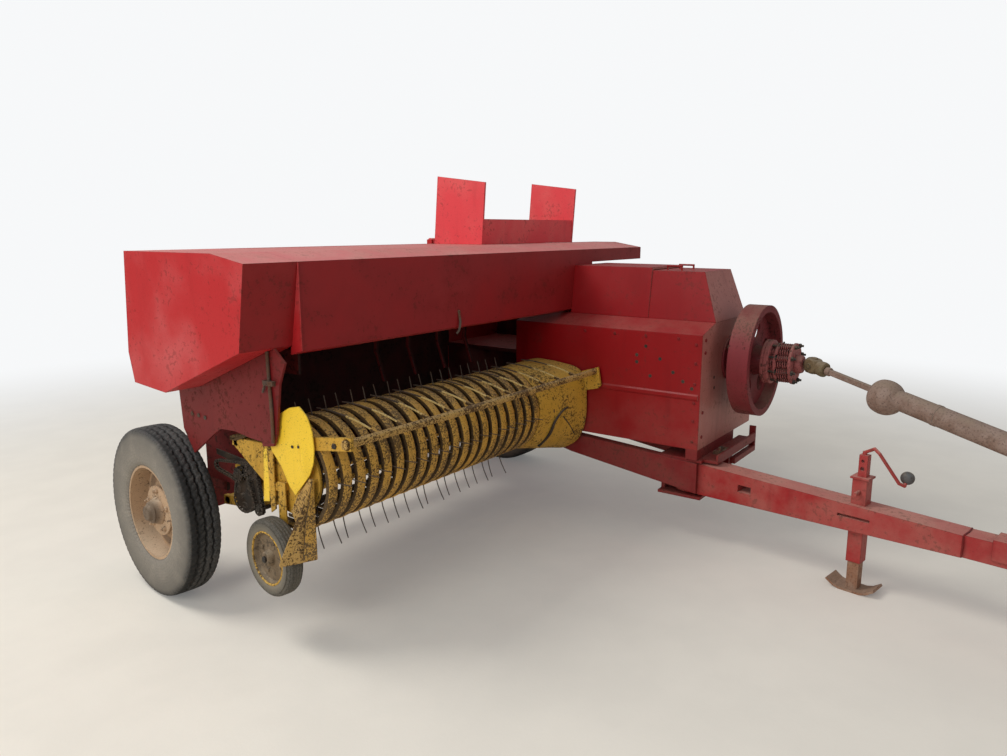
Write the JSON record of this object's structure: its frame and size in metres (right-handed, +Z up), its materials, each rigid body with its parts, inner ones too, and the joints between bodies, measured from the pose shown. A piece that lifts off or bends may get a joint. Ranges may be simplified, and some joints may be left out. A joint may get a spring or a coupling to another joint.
{
  "type": "small square baler",
  "caption": "Trailed small square hay baler with side pickup, feeder box, bale case, flywheel and driveline, swung tongue and parking jack.",
  "frame": {"origin": "middle of the footprint, on the ground", "axes": "+X across towards the bale case, +Y back from the hitch, +Z up"},
  "size_m": [2.88, 5.4147, 1.7993],
  "materials": {
    "red_paint": "faded and dusty",
    "dark_red": "worn, matt",
    "maroon": "rust-browned paint",
    "yellow": "dirty, chipped",
    "bright_yellow": "satin",
    "rim_tan": "rusty",
    "tyre": "dusty",
    "steel": "brown with rust"
  },
  "bodies": {
    "chassis": {"bale_case": "red_paint", "front_housing": "red_paint", "crank_cover": "red_paint", "crank_lid": "red_paint", "gearbox": "steel", "feeder_housing": "red_paint", "feeder_end_cap": "red_paint", "feeder_floor": "red_paint", "feeder_side": "red_paint", "feed_shield": "red_paint", "main_frame": "dark_red", "axle": "dark_red", "bearing_housing": "maroon", "knotter_frame": "dark_red", "twine_box": "red_paint", "tension_bars": "dark_red", "feeder_drive": "red_paint"},
    "wheel_right": {"tyre_right": "tyre", "rim_right": "rim_tan"},
    "wheel_left": {"tyre_left": "tyre", "rim_left": "rim_tan"},
    "tongue": {"tongue_beam": "dark_red", "hitch_clevis": "dark_red", "driveline_stand": "red_paint", "jack_tube": "dark_red"},
    "jack": {"jack_leg": "steel"},
    "flywheel_set": {"flywheel": "maroon", "slip_clutch": "maroon"},
    "driveline": {"driveline_joint": "steel", "driveline_tube": "steel"},
    "pickup": {"pickup_frame": "yellow", "stripper_bands": "yellow", "pickup_shields": "bright_yellow", "pickup_drive": "steel"},
    "reel_set": {"reel": "steel"},
    "gauge": {"gauge_wheel": "tyre"},
    "guard": {"wind_guard": "yellow"},
    "knotter_hood": {"knotter_cover": "red_paint"},
    "lid": {"twine_lid": "red_paint"},
    "needles": {"needle_yoke": "steel"},
    "chute": {"bale_chute": "red_paint"},
    "metering": {"metering_wheel": "steel"},
    "knotter_drive": {"knotter_shaft": "steel"},
    "ram": {"plunger": "steel"},
    "carriage": {"feeder_carriage": "steel"}
  },
  "joints": [
    {"name": "wheel_right_spin", "type": "hinge", "parent": "chassis", "child": "wheel_right", "pos_m": [-1.3, 0.868, 0.36], "axis": [0.9945, -0.1045, 0], "continuous": true},
    {"name": "wheel_left_spin", "type": "hinge", "parent": "chassis", "child": "wheel_left", "pos_m": [1.18, 0.868, 0.36], "axis": [1, 0, 0], "continuous": true},
    {"name": "tongue_swing", "type": "hinge", "parent": "chassis", "child": "tongue", "pos_m": [0.56, -0.7, 0.331], "axis": [0, 0, 1], "range_deg": [0, 20]},
    {"name": "jack_lift", "type": "slide", "parent": "tongue", "child": "jack", "axis": [0, 0, 1], "range_m": [0, 0.11]},
    {"name": "flywheel_spin", "type": "hinge", "parent": "chassis", "child": "flywheel_set", "pos_m": [0.83, -0.915, 0.885], "axis": [0, 1, 0], "continuous": true},
    {"name": "driveline_swing", "type": "hinge", "parent": "chassis", "child": "driveline", "pos_m": [0.83, -1.191, 0.885], "axis": [0, 0, 1], "range_deg": [0, 29.2]},
    {"name": "pickup_lift", "type": "hinge", "parent": "chassis", "child": "pickup", "pos_m": [0, 0.6, 0.42], "axis": [1, 0, 0], "range_deg": [0, 24]},
    {"name": "reel_spin", "type": "hinge", "parent": "pickup", "child": "reel_set", "pos_m": [-0.4, 0.08, 0.645], "axis": [1, 0, 0], "continuous": true},
    {"name": "gauge_spin", "type": "hinge", "parent": "pickup", "child": "gauge", "pos_m": [-1.316, 0.122, 0.345], "axis": [0.9945, -0.1045, 0], "continuous": true},
    {"name": "guard_lift", "type": "hinge", "parent": "pickup", "child": "guard", "pos_m": [-0.4, -0.225, 0.812], "axis": [1, 0, 0], "range_deg": [0, 60]},
    {"name": "knotter_hood_close", "type": "hinge", "parent": "chassis", "child": "knotter_hood", "pos_m": [0.71, 0.766, 1.461], "axis": [-1, 0, 0], "range_deg": [0, 180]},
    {"name": "twine_lid_open", "type": "hinge", "parent": "chassis", "child": "lid", "pos_m": [0.9815, 1.78, 1.04], "axis": [0, -1, 0], "range_deg": [0, 100]},
    {"name": "needle_lift", "type": "hinge", "parent": "chassis", "child": "needles", "pos_m": [0.71, 1.4, 0.7], "axis": [-1, 0, 0], "range_deg": [0, 55]},
    {"name": "chute_fold", "type": "hinge", "parent": "chassis", "child": "chute", "pos_m": [0.71, 2.272, 0.484], "axis": [1, 0, 0], "range_deg": [0, 80]},
    {"name": "metering_spin", "type": "hinge", "parent": "chassis", "child": "metering", "pos_m": [0.71, 1.4, 0.972], "axis": [1, 0, 0], "continuous": true},
    {"name": "knotter_spin", "type": "hinge", "parent": "chassis", "child": "knotter_drive", "pos_m": [0.71, 0.985, 1.15], "axis": [1, 0, 0], "continuous": true},
    {"name": "ram_slide", "type": "slide", "parent": "chassis", "child": "ram", "axis": [0, 1, 0], "range_m": [0, 0.762]},
    {"name": "carriage_slide", "type": "slide", "parent": "chassis", "child": "carriage", "axis": [1, 0, 0], "range_m": [-0.4, 0.18]}
  ],
  "couplings": [
    {"joint": "driveline_swing", "follows": "tongue_swing", "ratio": 1.46}
  ]
}
